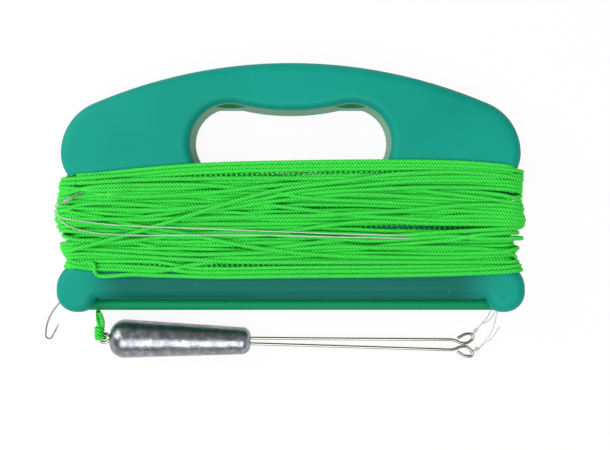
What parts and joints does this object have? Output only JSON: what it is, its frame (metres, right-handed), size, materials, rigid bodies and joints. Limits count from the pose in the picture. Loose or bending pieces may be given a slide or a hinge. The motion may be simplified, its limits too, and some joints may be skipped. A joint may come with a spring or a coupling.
{
  "type": "fishing line spool",
  "caption": "Flat hollow plastic handline winder with a finger-shaped grip opening, wound with thick twisted line, with a tapered sinker on a wire spreader and hooks on clear snoods.",
  "frame": {"origin": "on the table under the middle of the frame, below the centre of its outline", "axes": "+X along the bar to the snood end, +Y from the bar to the grip, +Z out of the front face, which looks up"},
  "size_m": [0.2527, 0.1531, 0.0296],
  "materials": {
    "frame_plastic": "semi-gloss, blow moulded",
    "twisted_line": "three strands, right-hand lay",
    "lead": "cast, dull and pitted",
    "steel_wire": "drawn",
    "hook_steel": "tinned",
    "clear_snood": "clear monofilament"
  },
  "bodies": {
    "winder": {"winder_frame": "frame_plastic", "line_winding": "twisted_line", "line_end": "twisted_line", "snood_upper_lead": "clear_snood", "snood_upper": "clear_snood", "snood_lower_lead": "clear_snood", "snood_lower": "clear_snood", "hook_upper": "hook_steel", "hook_whipping_upper": "clear_snood"},
    "sinker_rig": {"sinker_body": "lead", "spreader_wire": "steel_wire", "snood_knot_upper": "clear_snood", "snood_knot_lower": "clear_snood"},
    "tackle_knot": {"line_knot": "twisted_line"},
    "loose_hook": {"hook_lower": "hook_steel", "hook_whipping_lower": "clear_snood"}
  },
  "joints": [
    {"name": "sinker_swing", "type": "hinge", "parent": "winder", "child": "sinker_rig", "pos_m": [-0.09869, -0.07077, 0.0145], "axis": [0, 0, 1], "range_deg": [-3, 3], "deforming": ["snood_upper_lead", "snood_lower_lead"]},
    {"name": "knot_turn", "type": "hinge", "parent": "sinker_rig", "child": "tackle_knot", "pos_m": [-0.09909, -0.07817, 0.01055], "axis": [0.0262, 0.9997, 0], "range_deg": [-5, 5]},
    {"name": "hook_swing", "type": "hinge", "parent": "winder", "child": "loose_hook", "pos_m": [-0.11736, -0.05275, 0.00122], "axis": [0, 0, 1], "range_deg": [-40, 35]}
  ]
}
